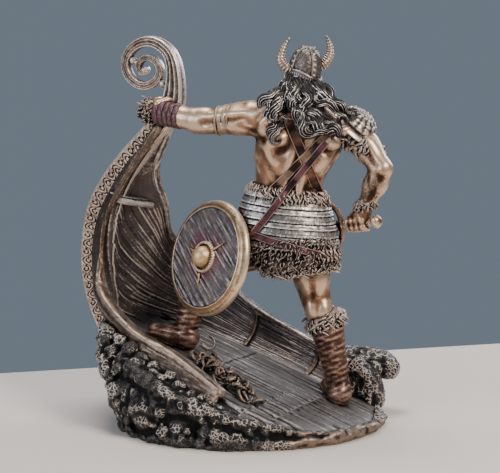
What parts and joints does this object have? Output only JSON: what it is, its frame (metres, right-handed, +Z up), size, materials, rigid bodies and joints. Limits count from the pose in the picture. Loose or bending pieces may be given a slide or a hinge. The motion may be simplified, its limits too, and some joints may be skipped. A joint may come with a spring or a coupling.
{
  "type": "viking ship statue",
  "caption": "Cast souvenir figurine: a horned-helmet warrior with sword and round shield braces in the bow of a longship on a wave, with a spiral stem.",
  "frame": {"origin": "on the flat underside, at the middle of the oval foot of the wave", "axes": "+X to the viewer's right, where the stern half of the deck runs out; +Y away from the viewer; +Z up, the longest way"},
  "size_m": [0.2219, 0.1611, 0.261],
  "materials": {
    "ship_casting": "bronze-powder resin casting, dark stain wiped off the high spots",
    "warrior_casting": "bronze-powder resin casting, polished skin, dark stain in the recesses",
    "shield_casting": "bronze-powder resin casting, red-brown tint, polished rim and boss",
    "sword_casting": "bronze-powder resin casting, polished"
  },
  "bodies": {
    "root": {"longship_on_waves": "ship_casting", "warrior": "warrior_casting", "shield": "shield_casting", "sword": "sword_casting"}
  },
  "joints": []
}
